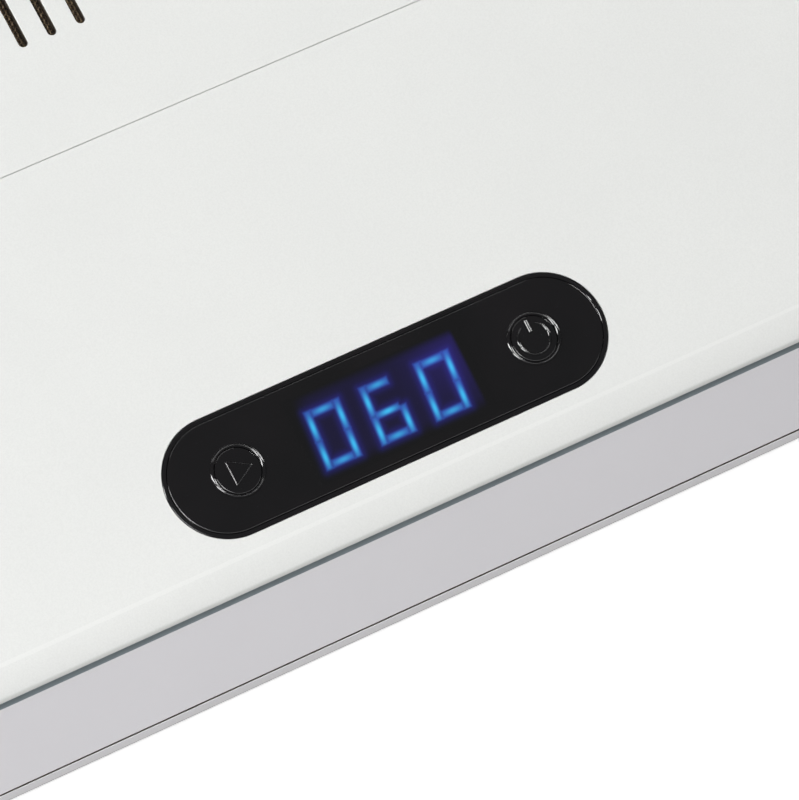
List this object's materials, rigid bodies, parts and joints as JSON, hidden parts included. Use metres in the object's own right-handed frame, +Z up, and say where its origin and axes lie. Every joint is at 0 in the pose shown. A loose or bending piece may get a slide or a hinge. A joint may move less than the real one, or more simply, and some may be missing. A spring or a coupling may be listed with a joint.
{
  "type": "filament dryer box",
  "caption": "Heated box for one filament spool: sloped console with a pill-shaped display and two buttons, and a hinged hood with a smoked window.",
  "frame": {"origin": "centre of the footprint's bounding box, on the plane the feet stand on", "axes": "+X to the right seen from the front, +Y to the back, +Z up; the console faces -Y"},
  "size_m": [0.285, 0.227, 0.2513],
  "materials": {
    "shell_white": "satin white moulded plastic, very fine grain",
    "cover_grey": "satin light grey moulded plastic",
    "panel_black": "polished black plastic",
    "display_blue": "dark display lens with lit blue digits",
    "smoked_window": "smoked clear polycarbonate",
    "inner_plastic": "charcoal moulded plastic",
    "circuit_board": "green solder mask",
    "black_rubber": "matt black rubber",
    "grey_silicone": "soft grey silicone",
    "bright_steel": "bright steel",
    "heater_fins": "bare aluminium fins",
    "vent_bronze": "bronze-brown woven mesh"
  },
  "bodies": {
    "base": {"base_shell": "shell_white", "bottom_cover": "cover_grey", "panel_bezel": "panel_black", "panel_face": "panel_black", "led_display": "display_blue", "blower_housing": "inner_plastic", "heater_duct": "inner_plastic", "hot_air_grille": "inner_plastic", "humidity_sensor": "inner_plastic", "dc_jack": "inner_plastic", "roller_cradle_left": "inner_plastic", "roller_cradle_right": "inner_plastic", "control_board": "circuit_board", "power_board": "circuit_board", "foot_front_left": "black_rubber", "foot_front_right": "black_rubber", "foot_back_left": "black_rubber", "foot_back_right": "black_rubber", "rim_gasket": "grey_silicone", "cover_screw_front_left": "bright_steel", "cover_screw_front_right": "bright_steel", "cover_screw_back_left": "bright_steel", "cover_screw_back_right": "bright_steel", "mode_switch": "bright_steel", "power_switch": "bright_steel", "thermal_cutout": "bright_steel", "bearing_front_left": "bright_steel", "bearing_front_right": "bright_steel", "bearing_back_left": "bright_steel", "bearing_back_right": "bright_steel", "base_magnet_left": "bright_steel", "base_magnet_right": "bright_steel", "hinge_pin_left": "bright_steel", "hinge_pin_right": "bright_steel", "ptc_heater": "heater_fins"},
    "lid": {"lid_shell": "shell_white", "lid_window": "smoked_window", "vent_mesh_left": "vent_bronze", "vent_mesh_right": "vent_bronze", "lid_magnet_left": "bright_steel", "lid_magnet_right": "bright_steel", "outlet_fitting_left": "inner_plastic", "outlet_fitting_right": "inner_plastic"},
    "mode_button": {"mode_button": "panel_black"},
    "power_button": {"power_button": "panel_black"},
    "blower_wheel": {"blower_wheel": "inner_plastic"},
    "roller_left": {"roller_shaft_left": "bright_steel", "roller_tyre_left": "black_rubber"},
    "roller_right": {"roller_shaft_right": "bright_steel", "roller_tyre_right": "black_rubber"},
    "plug_left": {"outlet_plug_left": "grey_silicone"},
    "plug_right": {"outlet_plug_right": "grey_silicone"}
  },
  "joints": [
    {"name": "lid_hinge", "type": "hinge", "parent": "base", "child": "lid", "pos_m": [0, 0.1101, 0.102], "axis": [-1, 0, 0], "range_deg": [0, 85]},
    {"name": "mode_button_press", "type": "slide", "parent": "base", "child": "mode_button", "axis": [0, 0.7071, -0.7071], "range_m": [0, 0.0004], "stiffness_N_per_m": 300},
    {"name": "power_button_press", "type": "slide", "parent": "base", "child": "power_button", "axis": [0, 0.7071, -0.7071], "range_m": [0, 0.0004], "stiffness_N_per_m": 300},
    {"name": "blower_wheel_spin", "type": "hinge", "parent": "base", "child": "blower_wheel", "pos_m": [0, -0.05, 0.031], "axis": [0, 0, 1], "continuous": true},
    {"name": "roller_left_spin", "type": "hinge", "parent": "base", "child": "roller_left", "pos_m": [-0.062, 0.052, 0.04], "axis": [0, 1, 0], "continuous": true},
    {"name": "roller_right_spin", "type": "hinge", "parent": "base", "child": "roller_right", "pos_m": [0.062, 0.052, 0.04], "axis": [0, 1, 0], "continuous": true},
    {"name": "plug_left_pull", "type": "slide", "parent": "lid", "child": "plug_left", "axis": [0, 0, 1], "range_m": [0, 0.02]},
    {"name": "plug_right_pull", "type": "slide", "parent": "lid", "child": "plug_right", "axis": [0, 0, 1], "range_m": [0, 0.02]}
  ]
}
